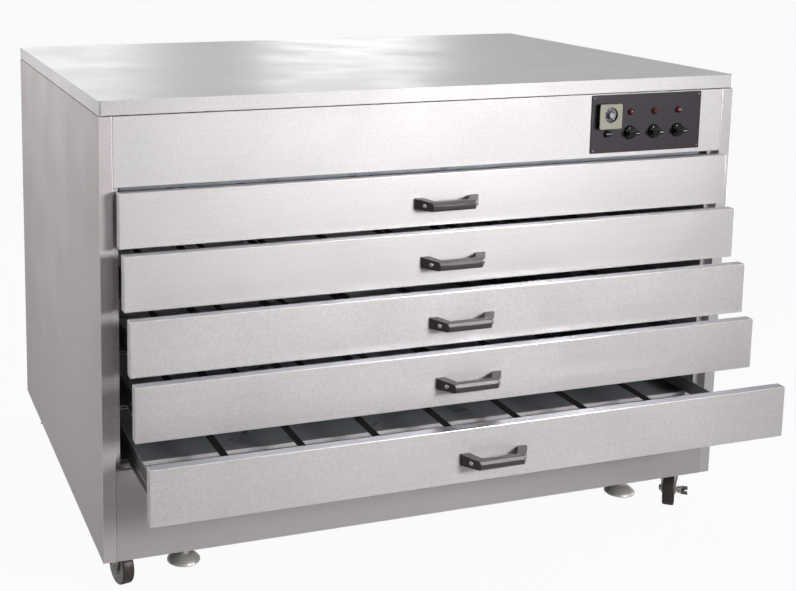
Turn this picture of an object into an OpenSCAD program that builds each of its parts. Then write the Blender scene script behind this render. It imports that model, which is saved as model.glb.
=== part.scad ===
// Five-drawer hot-air print dryer: a stainless cabinet on casters, with slatted drawers.
// Millimetres. +Z is up, the drawers open towards -Y, and +X is to the right of someone facing them.
// The origin is on the floor, under the middle of the whole object with its drawers as far open as set here.

/* [Cabinet] */
// Width over the side panels
body_w = 1400; // [1100:10:1700]
// Depth from the stile faces to the back
body_d = 960; // [760:10:1200]
// Height from the underside of the base to the top of the cover
body_h = 910; // [800:10:1100]
// Thickness of the sheet metal
sheet_t = 1.5; // [1:0.1:2.5]
// Height of the folded edge round the cover
lip_h = 28; // [18:1:40]
// Corner radius of the cover
cover_r = 6; // [3:0.5:12]
// Dark seam under the cover's edge
seam = 2; // [1:0.5:4]
// Width of each stile beside the drawers
stile_w = 26; // [20:1:40]
// How far the uprights stand behind the stile faces
reveal_d = 22; // [16:1:30]
// Width of the uprights that shows beside the stiles
upright_show = 14; // [10:1:24]
// Depth of the uprights
upright_d = 38; // [25:1:50]
// Height of the header panel, which carries the controls
header_h = 137.5; // [125:0.5:180]
// Height of the plinth panel under the drawers
plinth_h = 187; // [120:1:240]
// Depth of the lip along the top of the plinth
plinth_lip = 9; // [5:1:14]

/* [Drawers] */
// Gap above and below each drawer front
front_gap = 4.5; // [3:0.5:8]
// Gap at each end of a drawer front
end_gap = 4.5; // [3:0.5:8]
// Width of the lips folded in behind a drawer front
front_lip = 14; // [8:1:20]
// How far drawer 1, the top one, stands open
open_1 = 31; // [0:1:400]
// How far drawer 2 stands open
open_2 = 67; // [0:1:400]
// How far drawer 3 stands open
open_3 = 111; // [0:1:400]
// How far drawer 4 stands open
open_4 = 147; // [0:1:400]
// How far drawer 5, the bottom one, stands open
open_5 = 254; // [0:1:400]
// Air space between a closed drawer and the back panel
tray_back = 75; // [40:5:160]
// Height of the frame's angle rails
rail_h = 31; // [24:1:40]
// Width of the foot that the angle rails slide on
rail_foot = 10; // [8:0.5:14]
// Thickness of the angle rails and the runners
rail_t = 2; // [1.5:0.5:3]
// Space between a rail and the uprights, which the runner fills
runner_w = 25; // [20:1:32]
// Play of a rail foot in its runner
runner_play = 1.2; // [0.6:0.1:2]
// Number of slats in a drawer
slat_count = 7; // [3:1:9]
// Width of a slat
slat_w = 20; // [12:1:30]
// Thickness of a slat
slat_t = 3; // [2:0.5:5]

/* [Handles] */
// Length of a handle at its feet
handle_w = 140; // [110:1:180]
// Length of the bar at its front
bar_w = 92; // [70:1:130]
// How far the handle stands out
handle_proj = 38; // [30:1:50]
// Height of the handle
handle_h = 22; // [16:1:30]
// Thickness of the bar
bar_t = 13; // [10:0.5:15]
// Width of each foot
handle_foot = 18; // [14:1:24]
// Bevel along the edges of the bar
bar_bevel = 3; // [2:0.5:5]
// How far the top of the handle falls from its feet to the bar
handle_fall = 4; // [1:0.5:5]
// How far the handle sits below the middle of the drawer front
handle_drop = 5; // [0:1:12]

/* [Controls] */
// Thickness of the control plate
plate_t = 2; // [1:0.5:4]
// Distance from the control plate to the right stile
plate_from_stile = 56.5; // [20:0.5:120]
// Edge of the header that shows above and below the control plate, together
plate_inset = 13.5; // [8:0.5:20]
// Width of the control plate to the left of the thermostat
plate_edge = 12.5; // [8:0.5:30]
// Width of the lap that holds the control plate on the header
plate_lap = 12; // [6:0.5:16]
// Distance between two switches
switch_pitch = 59; // [50:1:80]
// Distance between the thermostat and the first switch
thermostat_gap = 55; // [50:1:80]
// Height of the lamp row over the switch row
row_pitch = 44; // [36:1:50]
// Width of the control plate to the right of the last knob
plate_right = 42.5; // [10:0.5:60]
// Diameter of a switch knob's skirt
knob_d = 30; // [24:1:36]
// How far a switch knob stands out from the plate
knob_proj = 18; // [14:1:24]
// Width of the thermostat's bezel
bezel_w = 54; // [46:1:60]
// How far the thermostat's bezel stands out from the plate
bezel_proj = 12; // [8:1:16]
// Diameter of the thermostat's dial
dial_d = 30; // [24:1:36]
// Diameter of a pilot lamp's lens
lamp_d = 12.4; // [9:0.2:16]
// Diameter of the control spindles
spindle_d = 6; // [4:0.5:8]
// Diameter of the fuse carrier
fuse_d = 8; // [6:0.5:9]
// Radial clearance of a turning or sliding fit
fit = 0.05; // [0.02:0.01:0.09]

/* [Casters and feet] */
// Diameter of a wheel
wheel_d = 75; // [60:1:100]
// Width of a wheel
wheel_w = 26; // [22:1:34]
// Gap between a wheel and the crown of its fork
crown_gap = 10.7; // [8:0.1:16]
// Thickness of a fork's crown, with the bearing inside it
crown_t = 7; // [5:0.5:10]
// Diameter of a fork's crown
crown_d = 47; // [40:1:56]
// Thickness of a fork's cheeks
cheek_t = 2.5; // [2:0.1:4]
// Side gap between a wheel and a cheek
cheek_gap = 1; // [0.5:0.1:3]
// How far the wheel trails behind the kingpin
trail = 20; // [12:1:26]
// Distance from a caster's kingpin to the side of the cabinet
caster_from_side = 52; // [51:1:64]
// Distance from a caster's kingpin to the front or the back
caster_from_front = 85; // [62:1:95]
// How far the casters sit to the right of even places
caster_shift = 11; // [-11:1:11]
// Diameter of a kingpin
kingpin_d = 12; // [10:1:14]
// Diameter of a wheel's axle
axle_d = 8; // [6:1:10]
// Direction in which the front left wheel trails, from +X
heading_fl = 101; // [0:1:360]
// Direction in which the front right wheel trails
heading_fr = 234; // [0:1:360]
// Direction in which the rear left wheel trails
heading_rl = 80; // [0:1:360]
// Direction in which the rear right wheel trails
heading_rr = 118; // [0:1:360]
// Diameter of a levelling foot's pad
foot_d = 68; // [56:1:84]
// Height of a pad over the floor
foot_lift = 45; // [5:1:46]
// Distance from a levelling foot to the side of the cabinet
foot_from_side = 182; // [160:1:240]
// Distance from a levelling foot to the front or the back
foot_from_front = 75; // [64:1:118]
// Diameter of a levelling foot's stem
stem_d = 12; // [10:1:16]

/* [Air and power] */
// Width of the fan's square frame
fan_w = 150; // [120:1:170]
// Depth of the fan's frame
fan_d = 38; // [30:1:45]
// Distance from the fan's middle to the back of the cabinet
fan_from_back = 365; // [200:5:420]
// Gap between the fan's blades and its ring
blade_gap = 2; // [1.5:0.5:4]
// Number of blades
blade_count = 7; // [5:1:9]
// Diameter of a heating tube
heater_d = 10; // [8:1:14]
// Length of a heating tube's straight runs
heater_run = 640; // [400:10:800]
// Distance between the two runs of a heating tube
heater_bend = 44; // [36:1:60]
// Distance from the stile faces to the first heating tube
heater_from_front = 230; // [180:5:260]
// How far the cable gland stands out behind the back panel
gland_proj = 22; // [15:1:30]
// Diameter of the gland's cable hole
gland_bore = 11; // [8:0.5:13]

/* [Hidden] */
$fn = 64;
eps = 0.5;
race_gap = 0.3;
race_t = 6;
mount_t = 3;
crown_bottom = wheel_d + crown_gap;
crown_top = crown_bottom + crown_t;
race_bottom = crown_top + race_gap;
plate_bottom = race_bottom + race_t;
base_z = plate_bottom + mount_t;
top_z = base_z + body_h;
lip_z = top_z - lip_h;
skin_top = lip_z - seam;
header_z = lip_z - header_h;
plinth_z = base_z + plinth_h;
half_w = body_w / 2;
stile_x = half_w - stile_w;
upright_x = stile_x - upright_show;
rear_y = body_d - 2 * sheet_t;

opens = [open_1, open_2, open_3, open_4, open_5];
pitch = (header_z - plinth_z - front_gap) / 5;
front_h = pitch - front_gap;
front_w = 2 * (stile_x - end_gap);
rail_x = upright_x - runner_w;
tray_d = rear_y - tray_back - reveal_d;
tray_rise = 1;
slat_pitch = 2 * rail_x / (slat_count + 1);
cross_flange = 20;
runner_ledge = runner_w - 3;
runner_lip = runner_w - rail_foot + 5;

front_reach = max(opens) + handle_proj;
front_y = (front_reach - body_d - gland_proj) / 2;

riser_z = plinth_z + front_gap - 1.5;
floor_z = plinth_z - 9;
step_z = plinth_z - 4.5;
step_y = 50;
ceiling_z = header_z + 10;
ceiling_y = reveal_d + 16;
ceiling_drop = 24;

plate_w = plate_edge + bezel_w / 2 + thermostat_gap + 2 * switch_pitch + knob_d / 2 + plate_right;
plate_h = header_h - plate_inset;
plate_x = stile_x - plate_from_stile - plate_w / 2;
plate_z = (header_z + lip_z) / 2 + 2.75;
thermostat_x = plate_edge + bezel_w / 2 - plate_w / 2;
first_switch = thermostat_x + thermostat_gap;
row_low = -row_pitch / 2 + 2;
row_lamp = row_low + row_pitch;
thermostat_at = [thermostat_x, row_lamp - 6.5];
fuse_at = [thermostat_x, row_low];
switch_at = [for (k = [0:2]) [first_switch + k * switch_pitch, row_low]];
lamp_at = [for (k = [0:2]) [first_switch + k * switch_pitch, row_lamp]];
bezel_h = bezel_w - 1;
dial_rise = 3;
bush_d = spindle_d + 3.6;
bush_top = plate_t + 1.5;
lamp_stem_d = lamp_d - 0.6;
fuse_barrel_d = fuse_d + 4;
hole_play = 0.2;

corner_names = ["front_left", "front_right", "rear_left", "rear_right"];
corner_side = [-1, 1, -1, 1];
corner_rear = [0, 0, 1, 1];
headings = [heading_fl, heading_fr, heading_rl, heading_rr];
braked = [false, true, true, false];
pin_head = 3.5;
axle_z = wheel_d / 2;
cheek_in = wheel_w / 2 + cheek_gap;
cheek_out = cheek_in + cheek_t;
knee_z = axle_z + 16;
nut_t = 4;
cam_r = 5.5;
cross_pin_d = 3;
pedal_w = 16;

beam_front = foot_from_front - 30;
beam_back = foot_from_front + 30;
beam_h = 32;
beam_t = 3;
lock_nut_t = 7;
stem_top = base_z + beam_h + 24;
pad_h = 16;
pad_rim = 3;

fan_at = [0, body_d - fan_from_back];
fan_z = ceiling_z + sheet_t;
fan_ring_r = fan_w / 2 - 8;
fan_hub_r = 30;
motor_h = 14;
heater_z = ceiling_z + 48;
heater_at = [-heater_run / 2, heater_from_front];
gland_at = [half_w - 140, base_z + 70];
gland_thread_d = 20;

// Height of the underside of drawer n's front, counted from 1 at the top
function front_z(n) = header_z - n * pitch;

// Places its children with y counted from the stile faces, and z from the floor
module in_cabinet() translate([0, front_y, 0]) children();

// A box between two opposite corners
module block(low, high) translate(low) cube(high - low);

// A rectangle with round corners, about the middle
module rounded(w, h, r) {
    square([w - 2 * r, h], center = true);
    square([w, h - 2 * r], center = true);
    for (sx = [-1, 1], sy = [-1, 1]) translate([sx * (w / 2 - r), sy * (h / 2 - r)]) circle(r);
}

// Places a control on the plate: its own z points out of the plate, from the header's face
module on_plate(at) in_cabinet() translate([plate_x + at[0], 0, plate_z + at[1]]) rotate([90, 0, 0]) children();

// Places its children at a corner of the base, at a distance from the side and from the front or back
module at_corner(corner, from_side, from_front, shift = 0) in_cabinet() {
    y = corner_rear[corner] == 0 ? from_front : body_d - from_front;
    translate([corner_side[corner] * (half_w - from_side) + shift, y, 0]) children();
}

// Places a caster's swivelling parts: their own x points along the trail
module at_caster(corner) at_corner(corner, caster_from_side, caster_from_front, caster_shift)
    rotate([0, 0, headings[corner]]) children();

// The cover: a tray of sheet with its edges folded down
module top_cover() color("gainsboro") in_cabinet() translate([0, body_d / 2, 0]) difference() {
    translate([0, 0, lip_z]) linear_extrude(lip_h) rounded(body_w, body_d, cover_r);
    translate([0, 0, lip_z - eps]) linear_extrude(lip_h - sheet_t + eps)
        rounded(body_w - 2 * sheet_t, body_d - 2 * sheet_t, cover_r - sheet_t);
}

// A side panel with its stile, the jamb behind it and the return at the back, all folded from one sheet
module side_panel(side) color("silver") in_cabinet() mirror([side < 0 ? 1 : 0, 0, 0])
    translate([0, 0, base_z]) linear_extrude(skin_top - base_z) {
        translate([half_w - sheet_t, 0]) square([sheet_t, body_d]);
        translate([stile_x, 0]) square([stile_w, sheet_t]);
        translate([stile_x, 0]) square([sheet_t, reveal_d]);
        translate([stile_x, body_d - sheet_t]) square([stile_w, sheet_t]);
    }

// The back panel, with cooling slots beside the header space and the hole for the gland
module back_panel() color("silver") in_cabinet() difference() {
    block([-half_w + sheet_t, rear_y, base_z], [half_w - sheet_t, rear_y + sheet_t, skin_top]);
    for (k = [-4:4], row = [0:2]) translate([k * 90 - 30, rear_y - eps, ceiling_z + 40 + row * 18])
        cube([60, sheet_t + 2 * eps, 5]);
    translate([gland_at[0], rear_y - eps, gland_at[1]]) rotate([-90, 0, 0])
        cylinder(d = gland_thread_d + hole_play, h = sheet_t + 2 * eps);
}

// One upright: a channel whose face shows beside the stile
module upright(side, face_y, turn) mirror([side < 0 ? 1 : 0, 0, 0]) {
    height = top_z - sheet_t - base_z - sheet_t;
    outer_x = half_w - cover_r;
    translate([0, face_y, base_z + sheet_t]) mirror([0, turn < 0 ? 1 : 0, 0]) linear_extrude(height) {
        translate([upright_x, 0]) square([outer_x - upright_x, sheet_t]);
        translate([upright_x, 0]) square([sheet_t, upright_d]);
        translate([outer_x - sheet_t, 0]) square([sheet_t, upright_d]);
    }
}

// The four uprights that carry the cover and the runners
module uprights() color("silver") in_cabinet() for (side = [-1, 1]) {
    upright(side, reveal_d, 1);
    upright(side, rear_y, -1);
}

// The header: a shallow tray with an opening behind the control plate
module header_panel() color("whitesmoke") in_cabinet() difference() {
    block([-stile_x + 0.3, 0, header_z], [stile_x - 0.3, reveal_d, skin_top]);
    block([-stile_x + 0.3 + sheet_t, sheet_t, header_z + sheet_t],
        [stile_x - 0.3 - sheet_t, reveal_d + eps, skin_top - sheet_t]);
    translate([plate_x, 0, plate_z])
        cube([plate_w - 2 * plate_lap, 3 * sheet_t, plate_h - 2 * plate_lap], center = true);
}

// The plinth: a shallow tray with a lip along its top, and a riser behind it that is folded back in two steps
module plinth_panel() color("darkgray") in_cabinet() {
    edge = stile_x - 0.3;
    difference() {
        block([-edge, 0, base_z], [edge, reveal_d, plinth_z]);
        block([-edge + sheet_t, sheet_t, base_z + sheet_t],
            [edge - sheet_t, reveal_d + eps, plinth_z - sheet_t]);
        block([-edge + sheet_t, plinth_lip, base_z + sheet_t], [edge - sheet_t, reveal_d + eps, plinth_z + eps]);
    }
    block([-upright_x, reveal_d - sheet_t, base_z], [upright_x, reveal_d, riser_z]);
    block([-upright_x, reveal_d - sheet_t, step_z - sheet_t], [upright_x, step_y, step_z]);
    block([-upright_x, step_y - sheet_t, floor_z - 20], [upright_x, step_y, step_z]);
}

// The chamber's ceiling, which is the floor of the header space: fan hole, air slots and a folded front edge
module ceiling_panel() color("silver") in_cabinet() difference() {
    reach = upright_x;
    union() {
        block([-reach, ceiling_y, ceiling_z], [reach, rear_y - 20, ceiling_z + sheet_t]);
        block([8 - reach, ceiling_y, ceiling_z - ceiling_drop], [reach - 8, ceiling_y + sheet_t, ceiling_z + sheet_t]);
    }
    translate([fan_at[0], fan_at[1], ceiling_z - eps]) cylinder(r = fan_ring_r, h = sheet_t + 2 * eps);
    for (k = [-5:5]) translate([k * 100 - 30, ceiling_y + 60, ceiling_z - eps])
        cube([60, 12, sheet_t + 2 * eps]);
}

// The chamber's floor
module base_pan() color("slategray") in_cabinet()
    block([-upright_x, step_y, floor_z - sheet_t], [upright_x, rear_y - 20, floor_z]);

// The base: bottom sheet and two cross beams with bosses and lock nuts for the levelling feet
module base_frame() color("gray") difference() {
    beam_x = upright_x - 4;
    union() {
        in_cabinet() block([-half_w + sheet_t, reveal_d, base_z], [half_w - sheet_t, rear_y, base_z + sheet_t]);
        for (rear = [0, 1]) in_cabinet() translate([0, rear * body_d, 0]) mirror([0, rear, 0]) difference() {
            block([-beam_x, beam_front, base_z], [beam_x, beam_back, base_z + beam_h]);
            block([-beam_x - eps, beam_front + beam_t, base_z + sheet_t],
                [beam_x + eps, beam_back - beam_t, base_z + beam_h - beam_t]);
        }
        for (corner = [0:3]) at_corner(corner, foot_from_side, foot_from_front) {
            translate([0, 0, base_z]) cylinder(d = stem_d + 12, h = beam_h);
            translate([0, 0, base_z - lock_nut_t]) cylinder(d = stem_d + 9, h = lock_nut_t + 1, $fn = 6);
        }
    }
    for (corner = [0:3]) at_corner(corner, foot_from_side, foot_from_front)
        translate([0, 0, base_z - lock_nut_t - eps]) cylinder(d = stem_d + 2 * fit, h = lock_nut_t + beam_h + 2 * eps);
}

// One runner: a channel that holds a rail's foot from below and above
module runner(side, z) mirror([side < 0 ? 1 : 0, 0, 0])
    translate([0, body_d - 20, 0]) rotate([90, 0, 0]) linear_extrude(body_d - 20 - reveal_d - sheet_t - 1) {
        rise = rail_t + runner_play;
        translate([upright_x - runner_ledge, z - rail_t]) square([runner_ledge, rail_t]);
        translate([upright_x - rail_t, z - rail_t]) square([rail_t, rise + 2 * rail_t]);
        translate([upright_x - runner_lip, z + rise]) square([runner_lip, rail_t]);
    }

// The runners, one pair for each drawer
module drawer_runners() color("dimgray") in_cabinet() for (n = [1:5], side = [-1, 1])
    runner(side, front_z(n) + tray_rise - 0.05);

// A drawer front: a folded tray with lips behind
module drawer_front(n) color("lightgray") in_cabinet() translate([0, -opens[n - 1], front_z(n)]) difference() {
    inner = front_w / 2 - sheet_t;
    hole = front_w / 2 - front_lip;
    block([-front_w / 2, 0, 0], [front_w / 2, reveal_d, front_h]);
    block([-inner, sheet_t, sheet_t], [inner, reveal_d - sheet_t, front_h - sheet_t]);
    block([-hole, sheet_t, rail_h + 3], [hole, reveal_d + eps, front_h - front_lip]);
}

// A drawer's frame: angle rails at the sides and a ledge for the slats at the front and back
module drawer_frame(n) color([0.24, 0.24, 0.26]) in_cabinet()
    translate([0, reveal_d - opens[n - 1], front_z(n) + tray_rise]) {
        for (side = [0, 1]) mirror([side, 0, 0]) {
            block([rail_x - rail_t, 0, 0], [rail_x, tray_d, rail_h]);
            block([rail_x - rail_t, 0, 0], [rail_x + rail_foot, tray_d, rail_t]);
        }
        for (end = [0, 1]) translate([0, end * tray_d, 0]) mirror([0, end, 0]) {
            block([-rail_x + rail_t / 2, 0, 0], [rail_x - rail_t / 2, rail_t, rail_h - slat_t]);
            block([-rail_x + rail_t / 2, 0, rail_h - slat_t - rail_t],
                [rail_x - rail_t / 2, cross_flange, rail_h - slat_t]);
        }
    }

// A drawer's slats, which lie on the ledges of its frame
module drawer_slats(n) color([0.16, 0.16, 0.17]) in_cabinet()
    translate([0, reveal_d - opens[n - 1], front_z(n) + tray_rise + rail_h - slat_t])
        for (k = [1:slat_count]) translate([-rail_x + k * slat_pitch - slat_w / 2, 0, 0])
            cube([slat_w, tray_d, slat_t]);

// A drawer's handle: a bridge with slanting legs, a top that falls to the front and a bevelled bar
module drawer_handle(n) color([0.2, 0.19, 0.2]) in_cabinet()
    translate([0, -opens[n - 1], front_z(n) + front_h / 2 - handle_drop]) intersection() {
        top_x = handle_w / 2;
        bar_x = bar_w / 2;
        inner_x = bar_x - bar_t * 0.7;
        translate([0, 0, -handle_h / 2]) linear_extrude(handle_h) polygon([
            [-top_x, 0], [-top_x, -5], [-bar_x, -handle_proj], [bar_x, -handle_proj], [top_x, -5], [top_x, 0],
            [top_x - handle_foot, 0], [inner_x, bar_t - handle_proj], [-inner_x, bar_t - handle_proj],
            [-top_x + handle_foot, 0]]);
        rotate([90, 0, 90]) linear_extrude(2 * handle_w, center = true) polygon([
            [0, -handle_h / 2], [0, handle_h / 2], [bar_bevel - handle_proj, handle_h / 2 - handle_fall],
            [-handle_proj, 0], [-handle_proj, bar_bevel + 1 - handle_h / 2],
            [bar_bevel - handle_proj, -handle_h / 2]]);
    }

// The control plate, with a hole for each control
module control_plate() color([0.27, 0.25, 0.27]) on_plate([0, 0]) linear_extrude(plate_t) difference() {
    rounded(plate_w, plate_h, 2);
    for (at = switch_at) translate(at) circle(d = bush_d + hole_play);
    for (at = lamp_at) translate(at) circle(d = lamp_stem_d + hole_play);
    translate(thermostat_at + [0, dial_rise]) circle(d = bush_d + hole_play);
    translate(fuse_at) circle(d = fuse_barrel_d + hole_play);
}

// The thermostat: bezel with its dial recess in front of the plate, and the works behind it
module thermostat() color("ivory") on_plate(thermostat_at) difference() {
    union() {
        translate([0, 0, plate_t]) linear_extrude(bezel_proj) rounded(bezel_w, bezel_h, 4);
        translate([0, dial_rise, 0]) cylinder(d = bush_d, h = plate_t + 1);
        translate([-22, -22, -42]) cube([44, 44, 42]);
    }
    translate([0, dial_rise, plate_t + 4]) cylinder(d = dial_d + 2, h = bezel_proj);
    translate([0, dial_rise, -25]) cylinder(d = spindle_d + 2 * fit, h = 60);
}

// The thermostat's dial and its knob, on one spindle
module thermostat_knob() color([0.3, 0.3, 0.33]) on_plate(thermostat_at) translate([0, dial_rise, 0]) {
    dial_z = plate_t + 4.5;
    translate([0, 0, -24]) cylinder(d = spindle_d, h = 24 + dial_z + 1);
    translate([0, 0, dial_z]) cylinder(d = dial_d, h = 3.5);
    translate([0, 0, dial_z]) cylinder(d = 12, h = bezel_proj);
}

// The pilot lamps
module pilot_lamps() color([0.45, 0.05, 0.06]) for (at = lamp_at) on_plate(at) {
    translate([0, 0, -24]) cylinder(d = lamp_stem_d, h = 25 + plate_t);
    translate([0, 0, plate_t]) cylinder(d = lamp_d + 2, h = 2);
    translate([0, 0, plate_t + 2]) intersection() {
        sphere(d = lamp_d);
        cylinder(d = lamp_d + 2, h = lamp_d);
    }
}

// The fuse holder
module fuse_holder() color([0.1, 0.1, 0.1]) on_plate(fuse_at) difference() {
    union() {
        translate([0, 0, -32]) cylinder(d = fuse_barrel_d, h = 33 + plate_t);
        translate([0, 0, plate_t]) cylinder(d = fuse_barrel_d + 3.5, h = 2);
    }
    translate([0, 0, -28]) cylinder(d = fuse_d + 2 * fit, h = 60);
}

// The fuse holder's cap, with its slot and the carrier that it draws out
module fuse_cap() color([0.06, 0.06, 0.06]) on_plate(fuse_at) difference() {
    union() {
        translate([0, 0, -26]) cylinder(d = fuse_d, h = 30 + plate_t);
        translate([0, 0, plate_t + 2.3]) cylinder(d = fuse_barrel_d + 2, h = 6);
    }
    translate([-10, -0.7, plate_t + 6.8]) cube([20, 1.4, 5]);
}

// The rotary switches behind the plate, each with its threaded bush
module rotary_switches() color([0.15, 0.15, 0.16]) for (at = switch_at) on_plate(at) difference() {
    union() {
        translate([-14, -14, -34]) cube([28, 28, 34]);
        cylinder(d = bush_d, h = bush_top);
    }
    translate([0, 0, -16]) cylinder(d = spindle_d + 2 * fit, h = 40);
}

// A switch knob: round skirt, bar grip and spindle
module switch_knob(k) color([0.05, 0.05, 0.05]) on_plate(switch_at[k]) {
    skirt_z = bush_top + 0.5;
    translate([0, 0, -15]) cylinder(d = spindle_d, h = 16 + skirt_z);
    translate([0, 0, skirt_z]) cylinder(d1 = knob_d, d2 = knob_d - 3, h = 4);
    intersection() {
        translate([0, 0, skirt_z]) cylinder(d1 = knob_d - 2, d2 = knob_d - 4, h = knob_proj - skirt_z + plate_t);
        translate([-knob_d / 2, -4.5, 0]) cube([knob_d, 9, knob_proj + 2 * plate_t]);
    }
}

// Three bent heating tubes held in two brackets that stand on the ceiling
module heater_elements() color([0.35, 0.32, 0.3]) in_cabinet() {
    rise = heater_z - ceiling_z - sheet_t;
    for (k = [0:2]) translate([heater_at[0], heater_at[1] + k * 2 * heater_bend, heater_z]) {
        for (s = [-1, 1]) translate([0, s * heater_bend / 2, 0]) rotate([0, 90, 0])
            cylinder(d = heater_d, h = heater_run);
        translate([heater_run, 0, 0]) rotate([0, 0, -90]) rotate_extrude(angle = 180)
            translate([heater_bend / 2, 0]) circle(d = heater_d);
    }
    for (x = [10, heater_run - 30]) translate([heater_at[0] + x, heater_at[1] - heater_bend, heater_z - rise])
        cube([3, heater_bend * 6, rise + 14]);
}

// The fan's square frame with its ring, three arms, the motor and its shaft
module fan_motor() color([0.2, 0.2, 0.22]) in_cabinet() translate([fan_at[0], fan_at[1], fan_z]) {
    difference() {
        translate([0, 0, fan_d / 2]) cube([fan_w, fan_w, fan_d], center = true);
        translate([0, 0, -eps]) cylinder(r = fan_ring_r, h = fan_d + 2 * eps);
    }
    cylinder(r = fan_hub_r, h = motor_h);
    cylinder(d = spindle_d, h = fan_d - 3);
    for (k = [0:2]) rotate([0, 0, 120 * k + 45]) translate([0, -4, 0]) cube([fan_ring_r + 2, 8, 4]);
}

// The fan's rotor
module fan_rotor() color([0.1, 0.1, 0.1]) in_cabinet()
    translate([fan_at[0], fan_at[1], fan_z + motor_h + 0.5]) difference() {
        height = fan_d - motor_h - 3;
        union() {
            cylinder(r = fan_hub_r, h = height);
            intersection() {
                for (k = [0:blade_count - 1]) rotate([0, 0, 360 / blade_count * k])
                    translate([0, 0, height / 2]) rotate([38, 0, 0]) translate([10, -13, -1.25])
                        cube([fan_ring_r, 26, 2.5]);
                cylinder(r = fan_ring_r - blade_gap, h = height);
            }
        }
        translate([0, 0, -eps]) cylinder(d = spindle_d + 2 * fit, h = fan_d);
    }

// The casters' fixed parts: plate, upper race and kingpin with its head
module caster_mounts() color("silver") for (corner = [0:3])
    at_corner(corner, caster_from_side, caster_from_front, caster_shift) {
    head_z = crown_bottom - race_gap - pin_head;
    translate([0, 0, plate_bottom + mount_t / 2]) cube([76, 60, mount_t], center = true);
    translate([0, 0, race_bottom]) cylinder(d = crown_d - 1, h = race_t);
    translate([0, 0, head_z]) cylinder(d = kingpin_d, h = race_bottom - head_z + 1);
    translate([0, 0, head_z]) cylinder(d = kingpin_d + 6, h = pin_head);
}

// A fork's two cheeks: their outline from the side, cut to the slant that draws them in below the crown
module cheeks() intersection() {
    top_out = crown_d / 2 - 0.5;
    rotate([90, 0, 0]) linear_extrude(2 * crown_d, center = true) {
        polygon([[-15, crown_top - 1], [trail + 1, crown_top - 1], [trail + 11, axle_z], [trail - 11, axle_z]]);
        translate([trail, axle_z]) circle(11);
    }
    rotate([90, 0, 90]) linear_extrude(4 * crown_d, center = true) for (side = [0, 1]) mirror([side, 0])
        polygon([[top_out - cheek_t, crown_top], [top_out, crown_top], [cheek_out, knee_z], [cheek_out, 0],
            [cheek_in, 0], [cheek_in, knee_z]]);
}

// A caster's fork: crown, cheeks and the axle with its nuts
module caster_fork(corner) color("silver") at_caster(corner) {
    end = braked[corner] ? cam_r + 3.5 : nut_t + 1;
    difference() {
        translate([0, 0, crown_bottom]) cylinder(d = crown_d, h = crown_t);
        translate([0, 0, crown_bottom - eps]) cylinder(d = kingpin_d + 2 * fit, h = crown_t + 2 * eps);
    }
    cheeks();
    translate([trail, 0, axle_z]) rotate([90, 0, 0]) {
        translate([0, 0, -cheek_out - end]) cylinder(d = axle_d, h = 2 * cheek_out + end + nut_t + 1);
        translate([0, 0, cheek_out]) cylinder(d = axle_d + 5, h = nut_t);
        if (!braked[corner]) translate([0, 0, -cheek_out - nut_t]) cylinder(d = axle_d + 5, h = nut_t);
    }
    if (braked[corner]) translate([trail, cheek_out + cam_r, axle_z]) rotate([0, 90, 0])
        cylinder(d = cross_pin_d, h = pedal_w + 2, center = true);
}

// A caster's wheel, with a rounded tread and dished sides
module caster_wheel(corner) color([0.3, 0.27, 0.28]) at_caster(corner)
    translate([trail, 0, axle_z]) rotate([90, 0, 0]) rotate_extrude($fn = 96) difference() {
        bore = axle_d / 2 + fit;
        rim = wheel_d / 2;
        half = wheel_w / 2;
        union() {
            translate([bore, -half]) square([rim - bore - 4, wheel_w]);
            translate([bore, -half + 4]) square([rim - bore, wheel_w - 8]);
            for (s = [-1, 1]) translate([rim - 4, s * (half - 4)]) circle(4);
        }
        for (s = [-1, 1]) translate([bore + 6, s * half - 2.5]) square([rim - bore - 16, 5]);
    }

// A caster's brake pedal: a cam on a cross pin through the axle's end, with a prong above and one below
module brake_pedal(corner) color([0.12, 0.12, 0.12]) at_caster(corner)
    translate([trail, cheek_out + cam_r, axle_z]) difference() {
        union() {
            rotate([0, 90, 0]) cylinder(r = cam_r - race_gap, h = pedal_w, center = true);
            for (s = [0, 1]) mirror([0, 0, s]) rotate([90, 0, 90]) linear_extrude(pedal_w, center = true)
                polygon([[0, -1], [0, 4.5], [7, 6.6], [20, 7.2], [20, 5.9], [9.5, 2.6], [8.5, -1]]);
        }
        translate([-axle_d / 2 - 0.6, -2 * cam_r, -2 * cam_r]) cube([axle_d + 1.2, 2 * cam_r + 5, 4 * cam_r]);
        rotate([0, 90, 0]) cylinder(d = cross_pin_d + 2 * fit, h = 2 * pedal_w, center = true);
    }

// A levelling foot: domed pad and threaded stem
module levelling_foot(corner) color("silver") at_corner(corner, foot_from_side, foot_from_front) {
    r = foot_d / 2;
    dome_r = (r * r + pad_h * pad_h) / (2 * pad_h);
    translate([0, 0, foot_lift]) cylinder(r = r, h = pad_rim);
    translate([0, 0, foot_lift + pad_rim]) intersection() {
        translate([0, 0, pad_h - dome_r]) sphere(r = dome_r, $fn = 96);
        cylinder(r = r, h = pad_h + 1);
    }
    translate([0, 0, foot_lift + pad_rim]) cylinder(d1 = stem_d + 14, d2 = stem_d + 6, h = pad_h + 5);
    translate([0, 0, foot_lift]) cylinder(d = stem_d, h = stem_top - foot_lift);
}

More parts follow.
